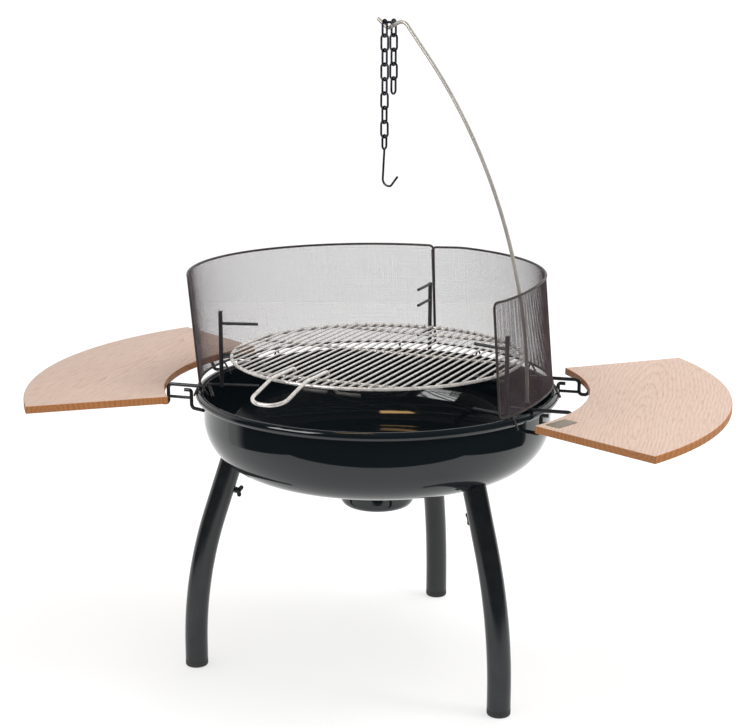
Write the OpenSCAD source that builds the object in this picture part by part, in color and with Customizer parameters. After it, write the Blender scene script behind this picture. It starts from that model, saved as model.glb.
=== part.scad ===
// Round charcoal grill on three curved legs, with a windscreen in two panels,
// a cooking grid on stepped posts, two side tables and a chain on a bent arm.
// Millimetres. The origin is on the floor, under the centre of the bowl. +Z is up, and -Y is the open front.

/* [Bowl] */
// Outside radius of the bowl's straight wall
wall_r = 287; // [270:1:300]
// Thickness of the enamelled steel
sheet_t = 2; // [1.5:0.5:3]
// Height of the middle of the rolled rim
rim_z = 468; // [440:1:500]
// Radius of the rolled rim's section
bead_r = 7; // [6:0.5:8]
// Height where the wall starts to round into the bottom
wall_foot_z = 430; // [420:1:435]
// Radius of the round between wall and bottom
knuckle_r = 85; // [70:1:100]
// Radius of the shallow dish at the bottom
dish_r = 1500; // [1200:50:2000]
// Diameter of each air hole in the bottom
vent_d = 14; // [8:1:16]
// Radius of the ring of air holes
vent_ring_r = 32; // [26:1:38]

/* [Ash cup] */
// Outside radius of the ash cup
cup_r = 61.5; // [55:0.5:64]
// Height of the underside of the ash cup
cup_base_z = 272; // [262:1:285]

/* [Legs] */
// Outside diameter of a leg tube
leg_d = 38; // [34:1:42]
// Wall of a leg tube
leg_wall = 2; // [1.5:0.5:3]
// Radius of the circle that the three feet stand on
foot_ring_r = 308; // [290:1:320]
// Height where a leg starts to bend
leg_bend_z = 40; // [30:1:60]
// Radius of a leg's bend
leg_bend_r = 740; // [700:10:800]
// Lean of a leg at its top, in degrees
leg_lean = 18; // [16:0.5:20]
// Direction of the left leg, in degrees from +X
leg_turn = 188.7; // [180:0.1:195]
// Length of the stub that a leg slides over
stub_len = 72; // [60:1:90]

/* [Windscreen] */
// Radius of the windscreen
screen_r = 292.5; // [290:0.5:295]
// Height of the bottom wire of the windscreen
screen_low_z = 487; // [486:0.5:490]
// Height of the top wire of the windscreen
screen_top_z = 667; // [600:1:700]
// Direction of the joint between the two panels
seam_turn = 69.5; // [65:1:75]
// Angle that one panel covers
panel_angle = 120.5; // [110:1:124]
// Thickness of the mesh
mesh_t = 1.2; // [0.8:0.1:2]
// Diameter of the wire along the edges
edge_wire_d = 4; // [3:0.5:5]

/* [Grid and posts] */
// Radius of the cooking grid's outer ring
grid_r = 240; // [220:1:245]
// Diameter of the outer ring's wire
grid_ring_d = 6; // [5:0.5:7]
// Diameter of a grid bar
bar_d = 4; // [3:0.5:5]
// Distance between two grid bars
bar_pitch = 14.4; // [13:0.2:16]
// Direction that the grid bars run in
bar_turn = 66; // [55:1:75]
// Radius of the circle that the posts stand on
post_r = 262; // [255:1:265]
// Diameter of a post
post_d = 7; // [6:0.5:8]
// Diameter of a prong
prong_d = 5; // [4:0.5:6]
// Height of the lowest rod of a post
post_foot_z = 469.5; // [466:0.5:471]
// Step from one prong to the next
prong_step = 52.5; // [45:0.5:60]

/* [Tables] */
// Inner radius of a table board
table_in_r = 350; // [340:1:360]
// Outer radius of a table board
table_out_r = 575; // [500:5:600]
// Thickness of a table board
table_t = 12; // [12:1:18]
// Height of the top of a table board
table_z = 482; // [480:1:490]
// Angle that a table board covers
table_angle = 68; // [60:1:75]
// Direction of the right table's brackets
right_table_turn = -15; // [-20:1:-10]
// Direction of the left table
left_table_turn = 163.3; // [160:0.1:170]
// Wire of the table brackets
hook_wire_d = 6; // [5:0.5:7]
// Sideways place of the front bracket
front_hook_v = 100; // [60:1:105]
// Sideways place of the rear bracket
rear_hook_v = 120; // [100:1:140]

/* [Arm and chain] */
// Direction of the arm's socket
arm_turn = -33; // [-36:0.5:-32]
// Radius of the circle that the arm's socket stands on
arm_r = 279.3; // [278:0.1:279.5]
// Diameter of the arm's rod
arm_d = 6; // [5:0.5:7]
// Lean of the arm at its top, in degrees
arm_lean = 39; // [36:1:42]
// Radius of the arm's long bend
arm_bend_r = 830; // [780:10:880]
// Height of the bottom of the notch for the chain
notch_z = 1056; // [1030:1:1080]
// Distance of the notch from the bowl's centre
notch_r = 18.5; // [15:0.5:22]
// Wire of a chain link
link_wire_d = 3.5; // [3:0.1:4]
// Distance from one chain link to the next
link_pitch = 22.4; // [22:0.1:25]
// Width of a chain link between the middles of its wires
link_w = 12.4; // [10:0.1:13]

/* [Hidden] */

// gap between pieces that move past each other
gap = 0.3;
// running clearance between a round piece and its hole
fit = 0.1;
// where a straight wire meets a bend, a ball this much larger than the wire closes a cut this long
joint_proud = 0.02;
joint_len = 0.1;
big_fn = 120;
wire_fn = 24;

// bowl
bead_centre_r = wall_r - sheet_t / 2 + 6.5;
knuckle_centre_r = wall_r - knuckle_r;
dish_drop = sqrt((dish_r - knuckle_r) * (dish_r - knuckle_r) - knuckle_centre_r * knuckle_centre_r);
dish_centre_z = wall_foot_z + dish_drop;
dish_angle = atan2(knuckle_centre_r, dish_drop);
rim_top_z = rim_z + bead_r;

// ash cup
cup_wall = 1.5;
cup_round = 14;
collar_r = cup_r - cup_wall - fit;
collar_t = 1.8;
collar_low_z = 308;
cup_top_z = 328;

// legs
leg_turns = [leg_turn, leg_turn + 120, leg_turn + 240];
leg_knee_r = foot_ring_r - leg_bend_r * (1 - cos(leg_lean));
leg_knee_z = leg_bend_z + leg_bend_r * sin(leg_lean);
leg_top_len = 100;
stub_d = leg_d - 2 * leg_wall - 2 * fit;
stub_meet_z = 356;
stub_meet_r = leg_knee_r - (stub_meet_z - leg_knee_z) * tan(leg_lean);
screw_down = 46;
screw_d = 6;
foot_h = 12;
foot_spigot = 20;

// windscreen
corner_r = 10;
clip_wire_d = 3.6;
clip_half_w = 11;
clip_drop = 20;
seam_half = 0.5;
left_clips = [82, 128, 155, 187];
right_clips = [52, 24, -8, -45];

// grid
grid_ring_z = post_foot_z + prong_step + prong_d / 2 + grid_ring_d / 2 + gap;
bar_z = grid_ring_z + 3;
chord_z = grid_ring_z - 1;
chord_d = 5;
bar_count = 16;
chords = [-195, 28, 185];
handle_wire_d = 6;
handle_z = bar_z + bar_d / 2 + handle_wire_d / 2 + gap;
handle_in_b = -173;
handle_knee_b = -252;
handle_tip_b = -333;
handle_tip_z = handle_z - 20;
handle_left_p = -4.5 * bar_pitch;
handle_right_p = -0.5 * bar_pitch;
post_turns = [174, -40, 69];
prong_in_r = 199;
post_top = 21;
table_low_z = table_z - table_t;
// the right board hangs a little off its brackets' middle: place of its arcs' centre, and its turn
right_board = [1.2, -21.4, 2.2];
left_board = [0, 0, 0];
socket_d = 12;
socket_low_z = 430;
socket_top_z = 486;

// chain
link_gap = 0.3;
link_len = link_pitch + link_wire_d + link_gap;
saddle_shift = 2.35;
saddle_z = notch_z + 9.7;
saddle_r = notch_r + saddle_shift;
strand_r = link_len / 2;

function unit(v) = v / norm(v);
function turn_at(p, i) = acos(unit(p[i] - p[i - 1]) * unit(p[i + 1] - p[i]));
function trim_at(p, i, r) = r[i] * tan(turn_at(p, i) / 2);
function same_r(p, r) = [for (i = [0 : len(p) - 1]) r];
function polar(r, a, z) = [r * cos(a), r * sin(a), z];

// straight piece of wire from a to b
module straight(a, b, d) {
    v = b - a;
    translate(a)
    rotate([0, acos(v[2] / norm(v)), atan2(v[1], v[0])])
    cylinder(d = d, h = norm(v), $fn = wire_fn);
}

// round bend of radius r between the legs a-b and b-c, with a ball that closes each joint
module bend(a, b, c, r, d) {
    u = unit(b - a);
    w = unit(c - b);
    angle = acos(u * w);
    n = unit(w - (u * w) * u);
    k = cross(u, n);
    start = b - u * r * tan(angle / 2);
    end = b + w * r * tan(angle / 2);
    o = start + n * r;
    skip = joint_len / r * 180 / PI;
    multmatrix([
        [-n[0], u[0], k[0], o[0]],
        [-n[1], u[1], k[1], o[1]],
        [-n[2], u[2], k[2], o[2]],
        [0, 0, 0, 1]
    ])
    rotate([0, 0, skip])
    rotate_extrude(angle = angle - 2 * skip, $fn = max(48, r / 2))
    translate([r, 0])
    circle(d = d, $fn = wire_fn);
    translate(start) sphere(d = d + 2 * joint_proud, $fn = wire_fn);
    translate(end) sphere(d = d + 2 * joint_proud, $fn = wire_fn);
}

// wire through the points p, with the bend radius r[i] at point i
module wire(p, d, r) {
    last = len(p) - 1;
    for (i = [0 : last - 1]) {
        v = unit(p[i + 1] - p[i]);
        head = i == 0 ? 0 : trim_at(p, i, r) + joint_len;
        tail = i == last - 1 ? 0 : trim_at(p, i + 1, r) + joint_len;
        straight(p[i] + v * head, p[i + 1] - v * tail, d);
    }
    if (last > 1) {
        for (i = [1 : last - 1]) {
            bend(p[i - 1], p[i], p[i + 1], r[i], d);
        }
    }
}

// half section of the bowl's outside, moved in by t
module bowl_half(t, top_z) {
    translate([0, wall_foot_z]) square([wall_r - t, top_z - wall_foot_z]);
    intersection() {
        translate([knuckle_centre_r, wall_foot_z]) circle(knuckle_r - t, $fn = big_fn);
        translate([knuckle_centre_r - 5, wall_foot_z - knuckle_r]) square([knuckle_r + 5, knuckle_r]);
    }
    intersection() {
        translate([0, dish_centre_z]) circle(dish_r - t, $fn = 720);
        translate([0, wall_foot_z - 130]) square([(dish_r - t) * sin(dish_angle), 130]);
    }
}

// everything inside the bowl's outer skin, grown by g
module bowl_envelope(g) {
    rotate_extrude($fn = big_fn) bowl_half(-g, rim_z);
}

module bowl() {
    color([0.03, 0.04, 0.045])
    difference() {
        rotate_extrude($fn = big_fn) {
            difference() {
                bowl_half(0, rim_z);
                bowl_half(sheet_t, rim_z + 1);
            }
            translate([bead_centre_r, rim_z]) circle(bead_r, $fn = 48);
        }
        translate([0, 0, 300]) cylinder(d = vent_d, h = 60, $fn = 48);
        for (a = [0 : 60 : 300]) {
            rotate([0, 0, a]) translate([vent_ring_r, 0, 300]) cylinder(d = vent_d, h = 60, $fn = 48);
        }
    }
}

module vent_collar() {
    color([0.05, 0.05, 0.05])
    difference() {
        translate([0, 0, collar_low_z]) cylinder(r = collar_r, h = 40, $fn = 96);
        translate([0, 0, collar_low_z - 1]) cylinder(r = collar_r - collar_t, h = 60, $fn = 96);
        bowl_envelope(0);
    }
}

// half section of the ash cup, moved in by t
module cup_half(t) {
    translate([0, cup_base_z + cup_round]) square([cup_r - t, cup_top_z - cup_base_z - cup_round]);
    translate([0, cup_base_z + t]) square([cup_r - cup_round, cup_round]);
    intersection() {
        translate([cup_r - cup_round, cup_base_z + cup_round]) circle(cup_round - t, $fn = 64);
        translate([cup_r - cup_round, cup_base_z]) square(cup_round);
    }
}

module ash_cup() {
    color([0.04, 0.04, 0.045])
    rotate_extrude($fn = 96)
    difference() {
        cup_half(0);
        cup_half(cup_wall);
        translate([0, cup_top_z - 1]) square([cup_r - cup_wall, 2]);
    }
}

// centre line of a leg, in the X-Z plane
module leg_line(d, low_z, top_len) {
    top = [leg_knee_r - top_len * sin(leg_lean), 0, leg_knee_z + top_len * cos(leg_lean)];
    vertex = [foot_ring_r, 0, leg_bend_z + leg_bend_r * tan(leg_lean / 2)];
    wire([[foot_ring_r, 0, low_z], vertex, top], d, [0, leg_bend_r, 0]);
}

// moves to a leg's stub: origin where the stub meets the bowl, +Z down along the leg, +X outwards
module at_stub(turn) {
    rotate([0, 0, turn])
    translate([stub_meet_r, 0, stub_meet_z])
    rotate([0, 180 - leg_lean, 0])
    rotate([0, 0, 180])
    children();
}

module leg(turn) {
    color([0.06, 0.06, 0.065])
    difference() {
        rotate([0, 0, turn]) leg_line(leg_d, foot_h, leg_top_len);
        rotate([0, 0, turn]) leg_line(leg_d - 2 * leg_wall, foot_h - 1, leg_top_len + 1);
        bowl_envelope(0.5);
        at_stub(turn) translate([0, 0, screw_down]) rotate([0, -90, 0]) cylinder(d = screw_d + 0.6, h = 40, $fn = 32);
    }
}

module leg_stub(turn) {
    color([0.05, 0.05, 0.05])
    difference() {
        at_stub(turn) translate([0, 0, -20]) cylinder(d = stub_d, h = stub_len + 20, $fn = 64);
        at_stub(turn) translate([0, 0, -30]) cylinder(d = stub_d - 6, h = stub_len + 40, $fn = 64);
        bowl_envelope(0);
    }
}

module foot(turn) {
    round_r = 4;
    color([0.07, 0.07, 0.07])
    rotate([0, 0, turn])
    translate([foot_ring_r, 0, 0])
    rotate_extrude($fn = 64)
    union() {
        square([leg_d / 2 - round_r, foot_h]);
        translate([0, round_r]) square([leg_d / 2, foot_h - round_r]);
        translate([leg_d / 2 - round_r, round_r]) circle(round_r, $fn = 48);
        translate([0, foot_h]) square([leg_d / 2 - leg_wall - fit, foot_spigot]);
    }
}

// one wing, leaning away from the leg
module wing() {
    rotate([0, -25, 0])
    translate([0, -1.25, 2])
    rotate([-90, 0, 0])
    linear_extrude(2.5)
    union() {
        translate([0, -3.5]) square([8, 7]);
        translate([8, 0]) circle(3.5, $fn = 32);
    }
}

module wing_screw(turn) {
    color([0.1, 0.1, 0.1])
    at_stub(turn)
    translate([0, 0, screw_down])
    rotate([0, -90, 0])
    union() {
        translate([0, 0, stub_d / 2 + gap]) cylinder(d = screw_d, h = 12, $fn = 32);
        translate([0, 0, leg_d / 2 + gap + 0.5]) cylinder(d1 = 11, d2 = 9, h = 7, $fn = 48);
        translate([0, 0, leg_d / 2 + 5]) wing();
        translate([0, 0, leg_d / 2 + 5]) rotate([0, 0, 180]) wing();
    }
}

// the mesh of one panel, from turn a over the given angle
module screen_mesh(a, angle) {
    color([0.35, 0.33, 0.32, 0.6])
    translate([0, 0, screen_low_z])
    rotate([0, 0, a])
    rotate_extrude(angle = angle, $fn = 360)
    translate([screen_r - mesh_t / 2, 0])
    square([mesh_t, screen_top_z - screen_low_z]);
}

// rounded corner of the edge wire: at the end of a hoop at height z, going way = up or down
module screen_corner(side, z, way) {
    end = [screen_r, side * corner_r, (z + way * corner_r)];
    bend([screen_r, 0, z], [screen_r, side * corner_r, z], end, corner_r - joint_len, edge_wire_d);
}

// the edge wire and the clips of one panel
module screen_frame(a, angle, clips) {
    step = corner_r / screen_r * 180 / PI;
    skip = joint_len / screen_r * 180 / PI;
    color([0.2, 0.19, 0.18])
    union() {
        for (z = [screen_low_z, screen_top_z]) {
            translate([0, 0, z])
            rotate([0, 0, a + step + skip])
            rotate_extrude(angle = angle - 2 * step - 2 * skip, $fn = 360)
            translate([screen_r, 0])
            circle(d = edge_wire_d, $fn = wire_fn);
        }
        for (end = [[a + step, -1], [a + angle - step, 1]]) {
            rotate([0, 0, end[0]]) {
                screen_corner(end[1], screen_low_z, 1);
                screen_corner(end[1], screen_top_z, -1);
                straight([screen_r, end[1] * corner_r, screen_low_z + corner_r + joint_len],
                    [screen_r, end[1] * corner_r, screen_top_z - corner_r - joint_len], edge_wire_d);
            }
        }
        for (c = clips) {
            for (side = [-1, 1]) {
                rotate([0, 0, c])
                straight([screen_r, 0, screen_low_z],
                    [screen_r + side * clip_half_w, 0, screen_low_z - clip_drop], clip_wire_d);
            }
        }
    }
}

// stepped post: extra adds a prong at the very top
module grid_post(turn, extra) {
    top_z = post_foot_z + 2 * prong_step + post_top;
    levels = extra ? [1, 2, 2.53] : [1, 2];
    color([0.12, 0.12, 0.13])
    rotate([0, 0, turn]) {
        straight([post_r, 0, post_foot_z - post_d / 2], [post_r, 0, extra ? post_foot_z + 2.58 * prong_step : top_z], post_d);
        straight([prong_in_r, 0, post_foot_z], [wall_r - sheet_t, 0, post_foot_z], prong_d);
        for (k = levels) {
            straight([prong_in_r, 0, post_foot_z + k * prong_step], [post_r, 0, post_foot_z + k * prong_step], prong_d);
        }
    }
}

module cooking_grid() {
    color([0.8, 0.8, 0.8])
    rotate([0, 0, bar_turn]) {
        translate([0, 0, grid_ring_z])
        rotate([0, 0, 1.7])
        rotate_extrude($fn = 180)
        translate([grid_r, 0])
        circle(d = grid_ring_d, $fn = wire_fn);
        for (i = [-bar_count : bar_count]) {
            v = i * bar_pitch;
            half = sqrt(grid_r * grid_r - v * v) - 0.7;
            straight([-half, v, bar_z], [half, v, bar_z], bar_d);
        }
        for (c = chords) {
            half = sqrt(grid_r * grid_r - c * c);
            straight([c, -half, chord_z], [c, half, chord_z], chord_d);
        }
    }
}

// lifting handle: a loop over the grid's edge whose two ends reach down through the grid
module grid_handle() {
    low_z = handle_z - 34;
    foot_len = 40;
    color([0.8, 0.8, 0.78])
    rotate([0, 0, bar_turn])
    wire([
        [handle_in_b, -handle_left_p - 16 - foot_len, low_z],
        [handle_in_b, -handle_left_p - 16, low_z],
        [handle_in_b, -handle_left_p, low_z + 20],
        [handle_in_b, -handle_left_p, handle_z],
        [handle_knee_b, -handle_left_p, handle_z],
        [handle_tip_b, -handle_left_p, handle_tip_z],
        [handle_tip_b, -handle_right_p, handle_tip_z],
        [handle_knee_b, -handle_right_p, handle_z],
        [handle_in_b, -handle_right_p, handle_z],
        [handle_in_b, -handle_right_p, low_z + 20],
        [handle_in_b, -handle_right_p - 16, low_z],
        [handle_in_b, -handle_right_p - 16 - foot_len, low_z]
    ], handle_wire_d, [0, 6, 6, 6, 14, 25, 25, 14, 6, 6, 6, 0]);
}

// table board: hook_vs lists the sideways places of its brackets
module table_board(turn, hook_vs, board) {
    edge = 1;
    color([0.78, 0.6, 0.42])
    rotate([0, 0, turn])
    difference() {
        translate([board[0], board[1], 0])
        rotate([0, 0, board[2] - table_angle / 2])
        rotate_extrude(angle = table_angle, $fn = 360)
        polygon([
            [table_in_r, table_low_z + edge],
            [table_in_r + edge, table_low_z],
            [table_out_r - edge, table_low_z],
            [table_out_r, table_low_z + edge],
            [table_out_r, table_z - edge],
            [table_out_r - edge, table_z],
            [table_in_r + edge, table_z],
            [table_in_r, table_z - edge]
        ]);
        for (v = hook_vs) {
            for (u = hook_screw_us(v, board)) {
                translate([u, v + hook_wire_d, table_low_z - 1]) cylinder(d = 4.2, h = 10, $fn = 24);
            }
        }
    }
}

function rim_u(v) = sqrt(bead_centre_r * bead_centre_r - v * v);
function edge_u(v, board) = board[0] + sqrt(table_in_r * table_in_r - (v - board[1]) * (v - board[1]));
function hook_screw_us(v, board) = [edge_u(v, board) + 45, edge_u(v, board) + 125];

// wire bracket that hangs a table on the rim, at the sideways place v
module table_hook(turn, v, board, low_z) {
    hang_z = rim_top_z + hook_wire_d / 2;
    foot_dir = [-0.5, 0.866, 0];
    brace_dir = [-0.92, 0.39, 0];
    brace_z = 440;
    ru = rim_u(v);
    eu = edge_u(v, board) - 3.5;
    bu = ru + 16;
    in_pt = [ru - 17, v, hang_z];
    dot = bu * 0.92 - v * 0.39;
    reach = dot - sqrt(dot * dot - (bu * bu + v * v - (wall_r + 0.1) * (wall_r + 0.1)));
    run_z = table_low_z - hook_wire_d / 2;
    color([0.08, 0.08, 0.09])
    rotate([0, 0, turn]) {
        wire([
            in_pt + 40 * foot_dir - [0, 0, 8],
            in_pt,
            [eu, v, hang_z],
            [eu, v, low_z],
            [eu + 14, v, low_z],
            [eu + 19, v, run_z],
            [eu + 145, v, run_z]
        ], hook_wire_d, [0, 8, 7, 6, 6, 6, 0]);
        wire([
            [bu + 12, v, hang_z - hook_wire_d - 2],
            [bu, v, hang_z - hook_wire_d - 2],
            [bu, v, brace_z],
            [bu, v, brace_z] + reach * brace_dir
        ], hook_wire_d, [0, 4, 7, 0]);
        straight([bu, v, brace_z + 17], [eu, v, brace_z + 17], hook_wire_d - 1);
    }
}

// the screws and washers that clamp the brackets to one board
module table_screws(turn, hook_vs, board) {
    color([0.7, 0.7, 0.7])
    rotate([0, 0, turn])
    for (v = hook_vs) {
        for (u = hook_screw_us(v, board)) {
            translate([u, v + hook_wire_d, table_low_z - hook_wire_d - 1.5])
            union() {
                cylinder(d = 18, h = 1.5, $fn = 48);
                cylinder(d = 4, h = hook_wire_d + 9, $fn = 24);
                translate([0, 0, -2.5]) cylinder(d1 = 6, d2 = 8, h = 2.5, $fn = 32);
            }
        }
    }
}

module blank_plate() {
    plate_r = 384;
    plate_turn = -44;
    color([0.65, 0.6, 0.52])
    rotate([0, 0, plate_turn])
    translate([plate_r, 0, table_z])
    linear_extrude(0.8)
    union() {
        square([26, 42], center = true);
        square([22, 46], center = true);
        for (x = [-11, 11]) {
            for (y = [-21, 21]) {
                translate([x, y]) circle(2, $fn = 24);
            }
        }
    }
}

module arm_socket() {
    color([0.05, 0.05, 0.05])
    rotate([0, 0, arm_turn])
    translate([arm_r, 0, socket_low_z])
    difference() {
        cylinder(d = socket_d, h = socket_top_z - socket_low_z, $fn = 48);
        translate([0, 0, 6]) cylinder(d = arm_d + 2 * fit, h = socket_top_z, $fn = 48);
    }
}

// the point where the arm's slope meets the short slope down to the notch
crest_fall = 25;
notch_rise = 39;
arm_vertex_z = 490 + arm_bend_r * tan(arm_lean / 2);
crest_s = ((notch_z - arm_vertex_z) + (arm_r - notch_r) * tan(crest_fall))
    / (cos(arm_lean) + sin(arm_lean) * tan(crest_fall));
crest_r = arm_r - crest_s * sin(arm_lean);
crest_z = arm_vertex_z + crest_s * cos(arm_lean);

module arm_rod() {
    tip_len = 24;
    color([0.75, 0.74, 0.72])
    rotate([0, 0, arm_turn])
    wire([
        [arm_r, 0, socket_low_z + 6 + gap],
        [arm_r, 0, arm_vertex_z],
        [crest_r, 0, crest_z],
        [notch_r, 0, notch_z],
        [notch_r - tip_len * cos(notch_rise), 0, notch_z + tip_len * sin(notch_rise)]
    ], arm_d, [0, arm_bend_r, 14, 6, 0]);
}

// a chain link standing in the X-Z plane, with the middle of its top wire at the origin
module chain_link() {
    r = link_w / 2;
    color([0.13, 0.13, 0.15]) {
        for (end = [[-r, 0], [r - link_len, 180]]) {
            translate([0, 0, end[0]])
            rotate([90, 0, 0])
            rotate([0, 0, end[1]])
            rotate_extrude(angle = 180, $fn = 48)
            translate([r, 0])
            circle(d = link_wire_d, $fn = wire_fn);
        }
        for (side = [-r, r]) {
            straight([side, 0, r - link_len], [side, 0, -r], link_wire_d);
        }
    }
}

// link k of a strand: side -1 is the long strand, and 1 is the short one
module strand_link(side, k) {
    rotate([0, 0, arm_turn])
    translate([saddle_r, side * strand_r, saddle_z + link_wire_d + link_gap - (k - 1) * link_pitch])
    rotate([0, 0, k % 2 == 1 ? 90 : 0])
    chain_link();
}

// the link that lies across the arm's notch
module chain_saddle() {
    rotate([0, 0, arm_turn])
    translate([saddle_r, strand_r, saddle_z])
    rotate([-90, 0, 0])
    chain_link();
}

module pot_hook() {
    eye_r = 5.8;
    eye_len = 22;
    top_z = saddle_z - 8 * link_pitch + link_wire_d + link_gap;
    low_z = top_z - eye_len;
    color([0.13, 0.13, 0.15])
    rotate([0, 0, arm_turn])
    translate([saddle_r, -strand_r, 0]) {
        for (end = [[top_z - eye_r, 0], [low_z + eye_r, 180]]) {
            translate([0, 0, end[0]])
            rotate([0, 0, 90])
            rotate([90, 0, 0])
            rotate([0, 0, end[1]])
            rotate_extrude(angle = 180, $fn = 48)
            translate([eye_r, 0])
            circle(d = link_wire_d, $fn = wire_fn);
        }
        for (side = [-eye_r, eye_r]) {
            straight([0, side, low_z + eye_r], [0, side, top_z - eye_r], link_wire_d);
        }
        wire([
            [0, 0, low_z],
            [-3.5, 0, low_z - 58.6],
            [12, 0, low_z - 58.6],
            [25, 0, low_z - 42.6]
        ], link_wire_d, [0, 11, 6, 0]);
    }
}

bowl();
vent_collar();
ash_cup();
leg_stub(leg_turns[0]);  // leg_stub_left
leg_stub(leg_turns[1]);  // leg_stub_right
leg_stub(leg_turns[2]);  // leg_stub_rear
leg(leg_turns[0]);  // leg_left
leg(leg_turns[1]);  // leg_right
leg(leg_turns[2]);  // leg_rear
foot(leg_turns[0]);  // foot_left
foot(leg_turns[1]);  // foot_right
foot(leg_turns[2]);  // foot_rear
wing_screw(leg_turns[0]);  // wing_screw_left
wing_screw(leg_turns[1]);  // wing_screw_right
wing_screw(leg_turns[2]);  // wing_screw_rear
screen_mesh(seam_turn + seam_half, panel_angle);  // screen_mesh_left
screen_mesh(seam_turn - seam_half - panel_angle, panel_angle);  // screen_mesh_right
screen_frame(seam_turn + seam_half, panel_angle, left_clips);  // screen_frame_left
screen_frame(seam_turn - seam_half - panel_angle, panel_angle, right_clips);  // screen_frame_right
grid_post(post_turns[0], false);  // grid_post_left
grid_post(post_turns[1], false);  // grid_post_right
grid_post(post_turns[2], true);  // grid_post_rear
cooking_grid();
grid_handle();
table_board(left_table_turn, [front_hook_v, -rear_hook_v], left_board);  // table_left
table_board(right_table_turn, [-front_hook_v, rear_hook_v], right_board);  // table_right
table_hook(left_table_turn, front_hook_v, left_board, 445);  // hook_left_front
table_hook(left_table_turn, -rear_hook_v, left_board, 453);  // hook_left_rear
table_hook(right_table_turn, -front_hook_v, right_board, 445);  // hook_right_front
table_hook(right_table_turn, rear_hook_v, right_board, 453);  // hook_right_rear
table_screws(left_table_turn, [front_hook_v, -rear_hook_v], left_board);  // table_screws_left
table_screws(right_table_turn, [-front_hook_v, rear_hook_v], right_board);  // table_screws_right
blank_plate();
arm_socket();
arm_rod();
chain_saddle();
strand_link(-1, 1);  // chain_long_1
strand_link(-1, 2);  // chain_long_2
strand_link(-1, 3);  // chain_long_3
strand_link(-1, 4);  // chain_long_4
strand_link(-1, 5);  // chain_long_5
strand_link(-1, 6);  // chain_long_6
strand_link(-1, 7);  // chain_long_7
strand_link(-1, 8);  // chain_long_8
strand_link(1, 1);  // chain_short_1
strand_link(1, 2);  // chain_short_2
strand_link(1, 3);  // chain_short_3
strand_link(1, 4);  // chain_short_4
strand_link(1, 5);  // chain_short_5
pot_hook();
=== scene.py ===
import math
import bpy
import bmesh
from mathutils import Matrix, Vector


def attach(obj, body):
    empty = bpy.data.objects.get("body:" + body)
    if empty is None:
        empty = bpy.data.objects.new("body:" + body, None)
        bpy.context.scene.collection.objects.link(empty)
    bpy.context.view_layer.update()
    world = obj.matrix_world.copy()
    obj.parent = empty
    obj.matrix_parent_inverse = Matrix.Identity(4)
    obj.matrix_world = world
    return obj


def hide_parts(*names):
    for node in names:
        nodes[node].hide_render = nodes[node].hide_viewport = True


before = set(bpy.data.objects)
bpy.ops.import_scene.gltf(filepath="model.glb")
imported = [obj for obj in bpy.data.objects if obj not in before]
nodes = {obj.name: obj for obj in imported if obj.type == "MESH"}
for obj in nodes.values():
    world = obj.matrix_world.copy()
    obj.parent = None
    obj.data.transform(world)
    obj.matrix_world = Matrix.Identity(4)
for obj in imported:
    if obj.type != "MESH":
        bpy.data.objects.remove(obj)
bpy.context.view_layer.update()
MM = 0.001
scene = bpy.context.scene


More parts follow.
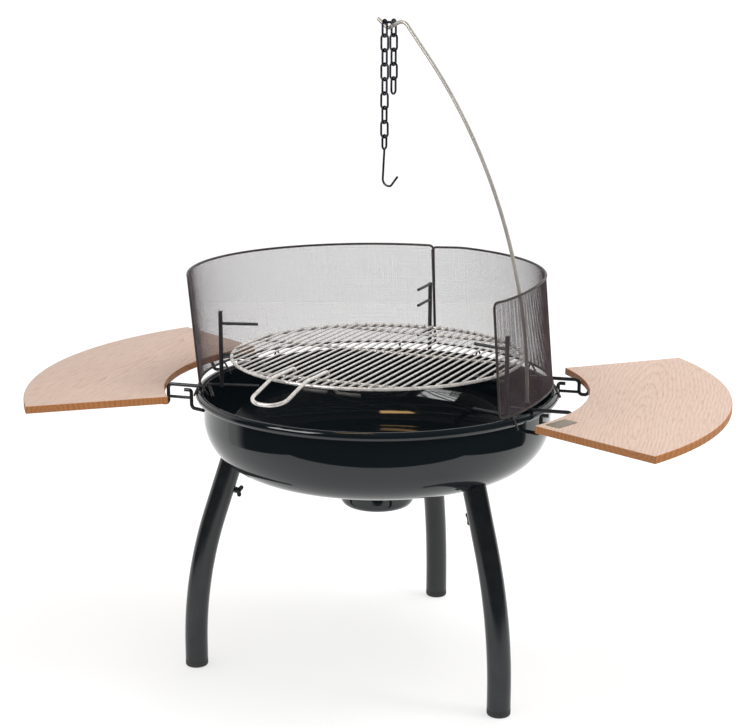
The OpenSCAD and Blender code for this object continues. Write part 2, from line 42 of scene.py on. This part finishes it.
# ---------------------------------------------------------------- materials
class Mat:
    """One node material: a Principled shader, with small helpers to feed it."""

    def __init__(self, name, base, rough, metal=0.0, **sockets):
        self.m = bpy.data.materials.new(name)
        self.m.use_nodes = True
        self.t = self.m.node_tree
        self.p = self.t.nodes["Principled BSDF"]
        self.set("Base Color", (*base, 1))
        self.set("Roughness", rough)
        self.set("Metallic", metal)
        for key, value in sockets.items():
            self.set(key.replace("_", " "), value)
        self.coord = self.add("ShaderNodeTexCoord").outputs["Object"]

    def set(self, socket, value):
        self.p.inputs[socket].default_value = value

    def add(self, kind, **values):
        n = self.t.nodes.new(kind)
        for k, v in values.items():
            setattr(n, k, v)
        return n

    def link(self, a, b):
        self.t.links.new(a, b)

    def place(self, scale=(1, 1, 1), rot=(0, 0, 0), shift=(0, 0, 0), source=None):
        n = self.add("ShaderNodeMapping")
        n.inputs["Scale"].default_value = scale
        n.inputs["Rotation"].default_value = rot
        n.inputs["Location"].default_value = shift
        self.link(source or self.coord, n.inputs["Vector"])
        return n.outputs["Vector"]

    def noise(self, scale, detail=3.0, rough=0.5, vector=None, distortion=0.0):
        n = self.add("ShaderNodeTexNoise")
        n.inputs["Scale"].default_value = scale
        n.inputs["Detail"].default_value = detail
        n.inputs["Roughness"].default_value = rough
        n.inputs["Distortion"].default_value = distortion
        self.link(vector or self.coord, n.inputs["Vector"])
        return n.outputs["Fac"]

    def ramp(self, fac, stops):
        n = self.add("ShaderNodeValToRGB")
        ramp = n.color_ramp
        while len(ramp.elements) < len(stops):
            ramp.elements.new(0.5)
        for e, (at, col) in zip(ramp.elements, stops):
            e.position = at
            e.color = (*col, 1) if len(col) == 3 else col
        self.link(fac, n.inputs["Fac"])
        return n.outputs["Color"]

    def span(self, fac, lo, hi, a=0.3, b=0.7):
        n = self.add("ShaderNodeMapRange")
        n.inputs["From Min"].default_value = a
        n.inputs["From Max"].default_value = b
        n.inputs["To Min"].default_value = lo
        n.inputs["To Max"].default_value = hi
        self.link(fac, n.inputs["Value"])
        return n.outputs["Result"]

    def mix(self, fac, a, b, blend="MIX"):
        n = self.add("ShaderNodeMix", data_type="RGBA", blend_type=blend)
        for socket, value in ((n.inputs["Factor"], fac), (n.inputs[6], a), (n.inputs[7], b)):
            if isinstance(value, bpy.types.NodeSocket):
                self.link(value, socket)
            else:
                socket.default_value = value
        return n.outputs[2]

    def to(self, value, socket):
        self.link(value, self.p.inputs[socket])

    def bump(self, height, strength, distance, before=None):
        n = self.add("ShaderNodeBump")
        n.inputs["Strength"].default_value = strength
        n.inputs["Distance"].default_value = distance
        self.link(height, n.inputs["Height"])
        if before:
            self.link(before, n.inputs["Normal"])
        self.link(n.outputs["Normal"], self.p.inputs["Normal"])
        return n.outputs["Normal"]


def enamel():
    m = Mat("enamel", (0.006, 0.009, 0.011), 0.05, IOR=1.52)
    fleck = m.noise(900, 2)
    m.to(m.ramp(fleck, [(0.45, (0.005, 0.008, 0.010)), (0.8, (0.009, 0.013, 0.015))]), "Base Color")
    m.to(m.span(m.noise(14, 4), 0.03, 0.09), "Roughness")
    peel = m.bump(m.noise(55, 2), 0.04, 0.0012)
    m.bump(m.noise(6, 2), 0.05, 0.006, peel)
    return m.m


def paint(name, dark, light, rough, scale=260, metal=0.0, strength=0.12):
    m = Mat(name, dark, rough, metal, IOR=1.5)
    m.to(m.ramp(m.noise(38, 5), [(0.35, dark), (0.7, light)]), "Base Color")
    m.to(m.span(m.noise(22, 4), rough - 0.05, rough + 0.07), "Roughness")
    m.bump(m.noise(scale, 3), strength, 0.0004)
    return m.m


def steel(name, dark, light, rough, stretch=(1, 1, 1), scale=120, metal=1.0):
    m = Mat(name, light, rough, metal)
    v = m.place(scale=stretch)
    m.to(m.ramp(m.noise(scale, 5, vector=v), [(0.3, dark), (0.68, light)]), "Base Color")
    m.to(m.span(m.noise(scale * 0.6, 4, vector=v), rough - 0.06, rough + 0.1), "Roughness")
    m.bump(m.noise(scale * 6, 3, vector=v), 0.06, 0.0002)
    return m.m


BOARD_R0, BOARD_R1 = 350.0, 575.0
BOARD_LOW, BOARD_TOP = 470.0, 482.0
GRAIN_R = 470.0
# Turn in degrees, arc centre in mm, then the tilt in radians and the depth in m of the growth rings.
BOARDS = {"left": (163.3, (0.0, 0.0), -0.035, 0.012), "right": (-12.8, (-4.38, -20.98), 0.085, 0.004)}


def oak(kind, side):
    """Flat-sawn oak. The grain runs along the board, and the growth rings meet its face at a low angle."""
    turn, _, tilt, depth = BOARDS[side]
    m = Mat("oak_%s_%s" % (kind, side), (0.7, 0.5, 0.38), 0.5, IOR=1.45)
    middle = (BOARD_LOW + BOARD_TOP) / 2
    run = m.place(rot=(0, 0, -math.radians(turn)), shift=(-GRAIN_R * MM, 0, -middle * MM))
    warp = m.add("ShaderNodeTexNoise")
    warp.inputs["Scale"].default_value = 7
    warp.inputs["Detail"].default_value = 3.0
    m.link(m.place(scale=(1, 0.4, 1), source=run), warp.inputs["Vector"])
    push = m.add("ShaderNodeVectorMath", operation="MULTIPLY_ADD")
    push.inputs[1].default_value = (0.034, 0.034, 0.012)
    m.link(warp.outputs["Color"], push.inputs[0])
    m.link(run, push.inputs[2])
    rings = m.add("ShaderNodeTexWave", wave_type="RINGS", rings_direction="Y", wave_profile="SAW")
    rings.inputs["Scale"].default_value = 52
    rings.inputs["Distortion"].default_value = 0.9
    rings.inputs["Detail"].default_value = 3.0
    rings.inputs["Detail Scale"].default_value = 0.6
    m.link(m.place(rot=(tilt, 0, 0), shift=(0.012, 0, depth), source=push.outputs[0]), rings.inputs["Vector"])
    pores = m.noise(520, 3, 0.6, vector=m.place(scale=(1, 0.05, 1), source=run))
    broad = m.noise(11, 3, 0.5, vector=m.place(scale=(1, 0.2, 1), source=run))
    if kind == "top":
        light, mid, deep = (0.52, 0.385, 0.315), (0.47, 0.34, 0.275), (0.32, 0.225, 0.18)
    else:
        light, mid, deep = (0.42, 0.17, 0.05), (0.34, 0.125, 0.035), (0.16, 0.055, 0.017)
    tone = m.ramp(rings.outputs["Fac"], [(0.0, light), (0.5, light), (0.84, mid), (0.97, deep), (1.0, light)])
    tone = m.mix(0.42, tone, m.ramp(broad, [(0.3, mid), (0.7, light)]))
    fine = m.ramp(pores, [(0.34, (0.80, 0.76, 0.73)), (0.5, (1, 1, 1))])
    m.to(m.mix(0.75, tone, fine, "MULTIPLY"), "Base Color")
    m.to(m.span(pores, 0.66, 0.5), "Roughness")
    first = m.bump(pores, 0.25, 0.0004)
    m.bump(rings.outputs["Fac"], 0.1, 0.0003, first)
    return m.m


ENAMEL = enamel()
LEG = paint("leg_paint", (0.008, 0.0095, 0.011), (0.013, 0.015, 0.017), 0.2, 500)
CAP = paint("foot_cap", (0.012, 0.012, 0.012), (0.022, 0.022, 0.022), 0.55, 900)
WING = paint("wing_screw", (0.012, 0.012, 0.013), (0.03, 0.03, 0.032), 0.4, 700, 0.5)
WIRE = paint("screen_wire", (0.045, 0.038, 0.037), (0.075, 0.064, 0.062), 0.45, 800, 0.3)
MESH = paint("screen_mesh", (0.085, 0.062, 0.070), (0.125, 0.095, 0.105), 0.5, 1200, 0.2)
POST = paint("post_steel", (0.035, 0.038, 0.043), (0.06, 0.064, 0.07), 0.38, 700, 0.4)
BRACKET = paint("bracket_wire", (0.008, 0.009, 0.011), (0.016, 0.017, 0.02), 0.28, 700)
CHROME = steel("grid_steel", (0.60, 0.575, 0.55), (0.84, 0.81, 0.78), 0.26, metal=0.5)
# Painted shade: the handle's two lower rods get this darker grey in place of the shade and dark reflections
# they sit in under the grid, while the rest of the handle is bright grid steel.
SHADED_ROD = paint("handle_rod_painted_shade", (0.10, 0.098, 0.095), (0.15, 0.147, 0.142), 0.4, 700, 0.4)
ZINC = steel("zinc_screw", (0.45, 0.45, 0.46), (0.66, 0.66, 0.67), 0.35)
PLATE = steel("blank_plate", (0.30, 0.26, 0.20), (0.46, 0.41, 0.32), 0.4, (1, 12, 1), 160)
ARM = paint("arm_steel", (0.40, 0.38, 0.345), (0.48, 0.46, 0.42), 0.32, 500, 0.35)
CHAIN = steel("chain_steel", (0.035, 0.038, 0.05), (0.09, 0.095, 0.115), 0.36, scale=90)
OAK_TOP = {side: oak("top", side) for side in BOARDS}
OAK_EDGE = {side: oak("edge", side) for side in BOARDS}


def paint_node(name, material):
    o = nodes[name]
    o.data.materials.clear()
    o.data.materials.append(material)


# ---------------------------------------------------------------- mesh helpers
class Part:
    """Collects vertices and faces of one piece, then makes its object."""

    def __init__(self):
        self.v, self.f, self.mi = [], [], []

    def face(self, ids, mat=0):
        self.f.append(ids)
        self.mi.append(mat)

    def lathe(self, profile, n=256, closed=True, mats=None, a0=0.0, a1=2 * math.pi):
        """Revolves (r, z) points in metres about Z. A part turn gets end faces."""
        full = abs(a1 - a0) > 6.2
        rows = n if full else n + 1
        base = len(self.v)
        k = len(profile)
        for i in range(rows):
            a = a0 + (a1 - a0) * i / n
            c, s = math.cos(a), math.sin(a)
            for r, z in profile:
                self.v.append((r * c, r * s, z))
        steps = k if closed else k - 1
        for i in range(n):
            j = (i + 1) % rows
            for q in range(steps):
                w = (q + 1) % k
                m = mats[q] if mats else 0
                self.face((base + i * k + q, base + j * k + q, base + j * k + w, base + i * k + w), m)
        if not full:
            self.face([base + q for q in range(k)], mats[-1] if mats else 0)
            self.face([base + n * k + q for q in reversed(range(k))], mats[-1] if mats else 0)

    def tube(self, path, radius, sides=16, loop=False, ends=True, mat=0):
        """Sweeps a round section along points. Free ends are rounded off."""
        pts = [Vector(p) for p in path]
        n = len(pts)
        rs = [radius] * n
        if not loop and ends:
            d0 = (pts[1] - pts[0]).normalized()
            d1 = (pts[-1] - pts[-2]).normalized()
            lip = 0.35 * radius
            head, tail = [], []
            for t, k in ((0.0, 0.55), (0.35, 0.85)):
                head.append((pts[0] + d0 * lip * t, radius * k))
                tail.append((pts[-1] - d1 * lip * t, radius * k))
            pts[0] = pts[0] + d0 * lip
            pts[-1] = pts[-1] - d1 * lip
            pts = [h[0] for h in head] + pts + [t[0] for t in reversed(tail)]
            rs = [h[1] for h in head] + rs + [t[1] for t in reversed(tail)]
            n = len(pts)
        base = len(self.v)
        tang = []
        for i in range(n):
            a = pts[(i - 1) % n] if loop or i > 0 else pts[i]
            b = pts[(i + 1) % n] if loop or i < n - 1 else pts[i]
            tang.append((b - a).normalized())
        up = tang[0].orthogonal().normalized()
        for i in range(n):
            t = tang[i]
            up = (up - t * up.dot(t)).normalized()
            side = t.cross(up)
            for q in range(sides):
                a = 2 * math.pi * q / sides
                self.v.append(pts[i] + (up * math.cos(a) + side * math.sin(a)) * rs[i])
        shift = 0
        if loop:
            t = tang[0]
            u0 = Vector(self.v[base]) - pts[0]
            u1 = (up - t * up.dot(t)).normalized()
            ang = math.atan2(t.cross(u1).dot(u0), u1.dot(u0))
            shift = round(ang / (2 * math.pi / sides))
        last = n if loop else n - 1
        for i in range(last):
            j = (i + 1) % n
            s = shift if (loop and j == 0) else 0
            for q in range(sides):
                w = (q + 1) % sides
                self.face((base + i * sides + q, base + i * sides + w, base + j * sides + (w - s) % sides,
                           base + j * sides + (q - s) % sides), mat)
        if not loop:
            self.face([base + q for q in reversed(range(sides))], mat)
            self.face([base + (n - 1) * sides + q for q in range(sides)], mat)

    def blob(self, centre, rx, ry, rz, rot=None, seg=10, rings=6, mat=0):
        """A small ellipsoid, such as a weld."""
        rot = rot or Matrix.Identity(3)
        c = Vector(centre)
        base = len(self.v)
        self.v.append(c + rot @ Vector((0, 0, rz)))
        for i in range(1, rings):
            th = math.pi * i / rings
            for q in range(seg):
                ph = 2 * math.pi * q / seg
                across = math.sin(th)
                spot = Vector((rx * across * math.cos(ph), ry * across * math.sin(ph), rz * math.cos(th)))
                self.v.append(c + rot @ spot)
        self.v.append(c + rot @ Vector((0, 0, -rz)))
        end = len(self.v) - 1
        for q in range(seg):
            w = (q + 1) % seg
            self.face((base, base + 1 + q, base + 1 + w), mat)
            for i in range(rings - 2):
                a = base + 1 + i * seg
                self.face((a + q, a + seg + q, a + seg + w, a + w), mat)
            a = base + 1 + (rings - 2) * seg
            self.face((a + q, end, a + w), mat)

    def make(self, name, materials, body, replaces=(), sharp=35, matrix=None):
        me = bpy.data.meshes.new(name)
        me.from_pydata([tuple(p) for p in self.v], [], self.f)
        if matrix is not None:
            me.transform(matrix)
        for m in materials if isinstance(materials, (list, tuple)) else [materials]:
            me.materials.append(m)
        me.polygons.foreach_set("material_index", self.mi)
        me.polygons.foreach_set("use_smooth", [True] * len(me.polygons))
        b = bmesh.new()
        b.from_mesh(me)
        bmesh.ops.remove_doubles(b, verts=b.verts, dist=1e-7)
        bmesh.ops.recalc_face_normals(b, faces=b.faces)
        b.to_mesh(me)
        b.free()
        if sharp:
            me.set_sharp_from_angle(angle=math.radians(sharp))
        o = bpy.data.objects.new(name, me)
        scene.collection.objects.link(o)
        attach(o, body)
        if replaces:
            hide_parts(*replaces)
        return o


def polar(r, deg, z):
    a = math.radians(deg)
    return Vector((r * math.cos(a), r * math.sin(a), z))


def rounded(points, radii, step=math.radians(6)):
    """The points of a wire in millimetres, with a round bend of the given radius at each inner point."""
    pts = [Vector(p) for p in points]
    out = [pts[0]]
    for i in range(1, len(pts) - 1):
        a, b, c = pts[i - 1], pts[i], pts[i + 1]
        u, w = (b - a).normalized(), (c - b).normalized()
        ang = math.acos(max(-1, min(1, u.dot(w))))
        r = radii[i]
        if ang < 1e-4 or r <= 0:
            out.append(b)
            continue
        n = (w - u * u.dot(w)).normalized()
        start = b - u * r * math.tan(ang / 2)
        o = start + n * r
        k = max(2, math.ceil(ang / step))
        for j in range(k + 1):
            t = ang * j / k
            out.append(o - n * r * math.cos(t) + u * r * math.sin(t))
    out.append(pts[-1])
    return out


def place(points, turn, z=0.0):
    """Millimetre points of a turned frame, as metres in the row frame."""
    m = Matrix.Rotation(math.radians(turn), 3, "Z")
    return [(m @ Vector(p) + Vector((0, 0, z))) * MM for p in points]


# ---------------------------------------------------------------- bowl
RIM_Z, BEAD, BEAD_R = 468.0, 7.0, 292.5
WALL, SHEET, FOOT_Z, KNUCKLE, DISH = 287.0, 2.0, 430.0, 85.0, 1500.0
HOLE_RING, HOLE_R = 32.0, 7.0


def shell_profile(t, top):
    """One skin of the bowl, from the middle of the bottom up to the wall's top, moved in by t."""
    kr, dr = KNUCKLE - t, DISH - t
    cr = WALL - KNUCKLE
    drop = math.sqrt((DISH - KNUCKLE) ** 2 - cr ** 2)
    cz = FOOT_Z + drop
    meet = math.atan2(cr, drop)
    out = [(dr * math.sin(meet * i / 26), cz - dr * math.cos(meet * i / 26)) for i in range(27)]
    for i in range(1, 31):
        a = meet + (math.pi / 2 - meet) * i / 30
        out.append((cr + kr * math.sin(a), FOOT_Z - kr * math.cos(a)))
    for i in range(1, 5):
        out.append((WALL - t, FOOT_Z + (top - FOOT_Z) * i / 4))
    return out


def build_bowl():
    inner = shell_profile(SHEET, 465.0)
    outer = shell_profile(0.0, 462.8)
    roll = []
    for i in range(0, 27):
        a = math.radians(176 - i * 302 / 26)
        roll.append((BEAD_R + BEAD * math.cos(a), RIM_Z + BEAD * math.sin(a)))
    lip = [(288.1, 462.2), (287.4, 462.9)]
    ring = inner + roll + lip + list(reversed(outer))
    p = Part()
    p.lathe([(max(r, 0.0) * MM, z * MM) for r, z in ring], 288, closed=True)
    o = p.make("bowl_shell", ENAMEL, "frame", ["bowl"], 50)
    cut = Part()
    for hole in [Vector((0, 0, 0))] + [polar(HOLE_RING, a, 0) for a in range(0, 360, 60)]:
        x, y = hole.x * MM, hole.y * MM
        cut.tube([(x, y, 0.31), (x, y, 0.36)], HOLE_R * MM, 40, ends=False)
    me = bpy.data.meshes.new("cutter")
    me.from_pydata([tuple(q) for q in cut.v], [], cut.f)
    c = bpy.data.objects.new("cutter", me)
    scene.collection.objects.link(c)
    mod = o.modifiers.new("holes", "BOOLEAN")
    mod.operation = "DIFFERENCE"
    mod.solver = "EXACT"
    mod.object = c
    bpy.context.view_layer.update()
    done = bpy.data.meshes.new_from_object(o.evaluated_get(bpy.context.evaluated_depsgraph_get()))
    o.modifiers.clear()
    o.data = done
    bpy.data.objects.remove(c)
    done.set_sharp_from_angle(angle=math.radians(50))
    return o


build_bowl()

# ---------------------------------------------------------------- windscreen
SCREEN_R, SCREEN_LOW, SCREEN_TOP = 292.5, 487.0, 667.0
SEAM, HALF, COVER = 68.5, 0.5, 120.5
WEAVE_PITCH, WEAVE_D, WEAVE_STEPS = 1.5, 0.2, 180


def ease(t):
    t = max(0.0, min(1.0, t))
    return t * t * (3 - 2 * t)


def screen_point(side, deg, z, out=0.0):
    """A point of a leaning panel. The right one sags at its front end and laps past the left one's end."""
    up = (z - SCREEN_LOW) / (SCREEN_TOP - SCREEN_LOW)
    r = SCREEN_R + out
    if side == "right":
        late = ease((deg - 56) / 14)
        mid = max(0.0, 1 - ((deg - 5) / 52) ** 2)
        p = polar(r + 4.4 * late - 4 * mid, deg, z - 3.5 * late * up - 9 * ease((-20 - deg) / 30))
        p.x -= (7 + 9 * mid + 5 * ease((-20 - deg) / 30)) * up
    else:
        p = polar(r, deg, z)
        p.x -= (5 + 11 * ease((deg - 72) / 80)) * up
    return p * MM


def screen_span(side):
    if side == "left":
        return SEAM + HALF, SEAM + HALF + COVER
    return SEAM - HALF - COVER + 2.2, SEAM - HALF + 1.3


def jitter(i):
    """A repeatable uneven spacing, between -0.5 and 0.5, that breaks up moire bands in the weave."""
    return math.modf(abs(math.sin(i * 12.9898 + 4.1) * 43758.5453))[0] - 0.5


def build_mesh(side):
    a0, a1 = screen_span(side)
    p = Part()
    cover, height = a1 - a0, SCREEN_TOP - SCREEN_LOW
    count = round(math.radians(cover) * SCREEN_R / WEAVE_PITCH)
    rows = round(height / WEAVE_PITCH)
    lay = 0.6 * WEAVE_D
    for i in range(1, count):
        a = a0 + cover * (i + 0.3 * jitter(i)) / count
        upright = [screen_point(side, a, z, lay) for z in (SCREEN_LOW, SCREEN_TOP)]
        p.tube(upright, WEAVE_D * MM, 4, ends=False)
    for k in range(1, rows):
        z = SCREEN_LOW + height * (k + 0.22 * jitter(k + 999)) / rows
        turns = [a0 + cover * i / WEAVE_STEPS for i in range(WEAVE_STEPS + 1)]
        p.tube([screen_point(side, a, z, -lay) for a in turns], WEAVE_D * MM * 1.1, 3, ends=False)
    p.make("screen_weave_" + side, MESH, "screen_" + side, ["screen_mesh_" + side], 60)


def build_screen_edge(side, clips):
    a0, a1 = screen_span(side)
    r = 8.0
    step = math.degrees(r / SCREEN_R)
    path = []

    def line(start, end, n):
        for i in range(n + 1):
            path.append(tuple(s + (e - s) * i / n for s, e in zip(start, end)))

    def corner(deg, z, start):
        for q in range(1, 6):
            t = math.radians(start + 15 * q)
            path.append((deg + step * math.cos(t), z + r * math.sin(t)))

    near, far = a0 + step, a1 - step
    low, top = SCREEN_LOW + r, SCREEN_TOP - r
    line((near, SCREEN_LOW), (far, SCREEN_LOW), 96)
    corner(far, low, -90)
    line((a1, low), (a1, top), 12)
    corner(far, top, 0)
    line((far, SCREEN_TOP), (near, SCREEN_TOP), 96)
    corner(near, top, 90)
    line((a0, top), (a0, low), 12)
    corner(near, low, 180)
    p = Part()
    p.tube([screen_point(side, a, z) for a, z in path], 2.0 * MM, 14, loop=True)
    legs = [(-11.4, 466), (-10.4, 469), (-1.6, 485.6), (0, 487), (1.6, 485.6), (10.4, 469), (11.4, 466)]
    for c in clips:
        p.tube([screen_point(side, c, z, out) for out, z in legs], 1.7 * MM, 12)
        p.blob(screen_point(side, c, 487), 3.2 * MM, 3.2 * MM, 2.5 * MM)
    p.make("screen_edge_" + side, WIRE, "screen_" + side, ["screen_frame_" + side], 50)


for side, clips in (("left", (82, 128, 155, 187)), ("right", (52, 24, -8, -45))):
    build_mesh(side)
    build_screen_edge(side, clips)


# ---------------------------------------------------------------- cooking grid
GRID_TURN, GRID_R, GRID_PITCH = 66, 240.0, 14.4
RING_Z, BAR_Z = 527.8, 530.8


def across(v, past=0.0):
    """Half the length of a bar that crosses the ring at v."""
    return math.sqrt(GRID_R ** 2 - v ** 2) + past


def build_grid():
    p = Part()
    ring = [polar(GRID_R, a, RING_Z) for a in range(0, 360, 2)]
    p.tube(place(ring, GRID_TURN), 2.8 * MM, 16, loop=True)
    for i in range(-16, 17):
        v = i * GRID_PITCH
        half, end = across(v), across(v, 1.2)
        bar = [(u, v, BAR_Z) for u in (-end, -half / 2, 0, half / 2, end)]
        p.tube(place(bar, GRID_TURN), 1.75 * MM, 12)
        for u in (-half, half):
            spot = place([(u, v, BAR_Z - 1.6)], GRID_TURN)[0]
            p.blob(spot, 2.6 * MM, 2.6 * MM, 1.7 * MM, seg=8, rings=5)
    for u in (-195, 28, 185):
        rail = [(u, v, RING_Z - 1) for v in (-across(u), 0, across(u))]
        p.tube(place(rail, GRID_TURN), 2.3 * MM, 12)
    p.make("grid_wires", CHROME, "grid", ["cooking_grid"], 50)


build_grid()


# ---------------------------------------------------------------- handle of the grid
def build_handle():
    z, low, inner, bend, tip = 536.1, 502.1, -173.0, -252, -333
    sides = (64.8, 7.2)
    p = Part()
    half = [(inner, z - 9), (inner, z), (bend, z), (tip, z - 20)]
    loop = [(u, sides[0], h) for u, h in half] + [(u, sides[1], h) for u, h in reversed(half)]
    p.tube(place(rounded(loop, [0, 7, 14, 25, 25, 14, 7, 0]), GRID_TURN), 3.0 * MM, 16, ends=False)
    for v in sides:
        rod = [(inner, v, z - 9), (inner, v, low + 20), (inner, v - 16, low), (inner, v - 56, low)]
        # The rods under the grid take the second material, a darker grey that is painted shade.
        p.tube(place(rounded(rod, [0, 6, 6, 0]), GRID_TURN), 3.0 * MM, 16, mat=1)
    p.make("handle_loop", [CHROME, SHADED_ROD], "grid", ["grid_handle"], 50)


build_handle()

# ---------------------------------------------------------------- tables
FACE, EDGE = 0, 1
BOARD_HALF, BOARD_ROUND = 34.0, 1.6


def build_board(side):
    """A ring sector with rounded long edges. Its flat faces and its edges have their own material."""
    turn, centre, _, _ = BOARDS[side]
    e = BOARD_ROUND
    r0, r1, z0, z1 = BOARD_R0 + e, BOARD_R1 - e, BOARD_LOW + e, BOARD_TOP - e
    profile = []
    for cr, cz, start in ((r0, z0, 180), (r1, z0, 270), (r1, z1, 0), (r0, z1, 90)):
        for i in range(5):
            a = math.radians(start + 22.5 * i)
            profile.append(((cr + e * math.cos(a)) * MM, (cz + e * math.sin(a)) * MM))
    mats = [EDGE] * len(profile)
    for q in (4, 13, 14, 15):
        mats[q] = FACE
    p = Part()
    p.lathe(profile, 96, True, mats, math.radians(turn - BOARD_HALF), math.radians(turn + BOARD_HALF))
    shift = Matrix.Translation((centre[0] * MM, centre[1] * MM, 0))
    o = p.make("table_board_" + side, [OAK_TOP[side], OAK_EDGE[side]], "frame",
               ["table_" + side], 40, shift)
    soft = o.modifiers.new("soft", "BEVEL")
    soft.width = 0.0012
    soft.segments = 3
    soft.limit_method = "ANGLE"
    soft.angle_limit = math.radians(60)


for side in BOARDS:
    build_board(side)

# ---------------------------------------------------------------- carried-over nodes
# The first start of a name that fits gives the node's material.
COATS = (("leg_stub", ENAMEL), ("vent_collar", ENAMEL), ("ash_cup", ENAMEL), ("arm_socket", ENAMEL),
         ("leg_", LEG), ("foot_", CAP), ("wing_", WING), ("grid_post", POST), ("hook_", BRACKET),
         ("table_screws", ZINC), ("blank_plate", PLATE), ("arm_rod", ARM), ("chain_", CHAIN),
         ("pot_hook", CHAIN))
for name in nodes:
    for start, material in COATS:
        if name.startswith(start):
            paint_node(name, material)
            break


# ---------------------------------------------------------------- floor, light, camera
def add_floor():
    """Near-white studio floor. It gives off part of its own light, so the shadows on it are faint."""
    right = [(1.25, -0.94), (1.25, 0.25), (2.6, 0.9), (2.6, 3.2)]
    rim = [(-1.25, -0.94)] + right + [(-x, y) for x, y in reversed(right[1:])]
    me = bpy.data.meshes.new("floor")
    me.from_pydata([(x, y, 0) for x, y in rim], [], [list(range(len(rim)))])
    m = Mat("floor", (0.4, 0.4, 0.4), 0.9, Specular_IOR_Level=0.0, Emission_Strength=0.62)
    m.set("Emission Color", (1, 1, 1, 1))
    m.to(m.ramp(m.noise(2.5, 2), [(0.3, (0.40, 0.40, 0.40)), (0.7, (0.41, 0.41, 0.41))]), "Base Color")
    me.materials.append(m.m)
    o = bpy.data.objects.new("floor", me)
    scene.collection.objects.link(o)


add_floor()


def add_world():
    """Soft light and a white background. Glossy rays see a dark room with a low bright back wall."""
    w = bpy.data.worlds.new("studio")
    scene.world = w
    w.use_nodes = True
    t = w.node_tree
    t.nodes.clear()

    def math_node(op, a, b):
        n = t.nodes.new("ShaderNodeMath")
        n.operation = op
        for socket, value in zip(n.inputs, (a, b)):
            if isinstance(value, float):
                socket.default_value = value
            else:
                t.links.new(value, socket)
        return n.outputs[0]

    def step(value, lo, hi, a, b):
        n = t.nodes.new("ShaderNodeMapRange")
        n.interpolation_type = "SMOOTHSTEP"
        for k, v in (("From Min", lo), ("From Max", hi), ("To Min", a), ("To Max", b)):
            n.inputs[k].default_value = v
        t.links.new(value, n.inputs["Value"])
        return n.outputs["Result"]

    def ground(strength, colour=(1, 1, 1, 1)):
        n = t.nodes.new("ShaderNodeBackground")
        n.inputs["Color"].default_value = colour
        if isinstance(strength, float):
            n.inputs["Strength"].default_value = strength
        else:
            t.links.new(strength, n.inputs["Strength"])
        return n.outputs[0]

    def mix(fac, a, b):
        n = t.nodes.new("ShaderNodeMixShader")
        t.links.new(fac, n.inputs["Fac"])
        t.links.new(a, n.inputs[1])
        t.links.new(b, n.inputs[2])
        return n.outputs[0]

    co = t.nodes.new("ShaderNodeTexCoord")
    sep = t.nodes.new("ShaderNodeSeparateXYZ")
    t.links.new(co.outputs["Generated"], sep.inputs[0])
    x, y, z = sep.outputs
    back = math_node("SUBTRACT", y, math_node("MULTIPLY", x, 0.116))
    wall = math_node("MULTIPLY", step(back, 0.2, 0.38, 0.0, 1.0), step(z, 0.45, 0.8, 1.0, 0.04))
    room = math_node("ADD", math_node("MULTIPLY", wall, 0.9), 0.03)
    sky = step(z, -0.2, 0.9, 0.75, 1.15)
    path = t.nodes.new("ShaderNodeLightPath")
    around = ground(sky, (1.0, 0.995, 0.985, 1))
    mirrored = ground(room, (1.0, 0.985, 0.97, 1))
    soft = mix(path.outputs["Is Glossy Ray"], around, mirrored)
    full = mix(path.outputs["Is Camera Ray"], soft, ground(1.05))
    out = t.nodes.new("ShaderNodeOutputWorld")
    t.links.new(full, out.inputs["Surface"])


add_world()


def area(name, where, target, size, power, colour=(1, 1, 1), glossy=False, diffuse=True):
    d = bpy.data.lights.new(name, "AREA")
    d.shape = "RECTANGLE"
    d.size, d.size_y = size
    d.energy = power
    d.color = colour
    o = bpy.data.objects.new(name, d)
    o.location = where
    o.rotation_euler = (Vector(target) - Vector(where)).to_track_quat("-Z", "Y").to_euler()
    o.visible_glossy = glossy
    o.visible_diffuse = diffuse
    scene.collection.objects.link(o)


area("top_box", (0.7, 0.1, 2.6), (0, 0, 0.4), (1.2, 1.2), 26)
area("right_box", (2.4, -0.8, 1.9), (0, 0, 0.4), (0.8, 0.8), 20)
# These two are seen only in reflections, and light nothing: they give the bowl's inside its highlights.
area("soft_box", (-1.21, -0.89, 1.37), (0.11, 0.25, 0.4), (0.85, 0.8), 17, glossy=True, diffuse=False)
area("warm_lamp", (-0.25, 0.24, 2.6), (0.0, 0.25, 0.4), (0.3, 0.42), 3.4, (1.0, 0.62, 0.25), True, False)

cam_data = bpy.data.cameras.new("camera")
cam_data.sensor_width = 36.0
cam_data.lens = 80.36
cam_data.shift_x = 0.01857
cam_data.shift_y = 0.0056
cam_data.clip_end = 50
cam = bpy.data.objects.new("camera", cam_data)
cam.location = (0, -2.6947, 1.1334)
CAM_DOWN, CAM_TURN = 13.093, 0.572
cam.rotation_euler = (math.radians(90 - CAM_DOWN), 0, math.radians(CAM_TURN))
scene.collection.objects.link(cam)
scene.camera = cam
scene.view_settings.view_transform = "Standard"

bpy.context.view_layer.update()
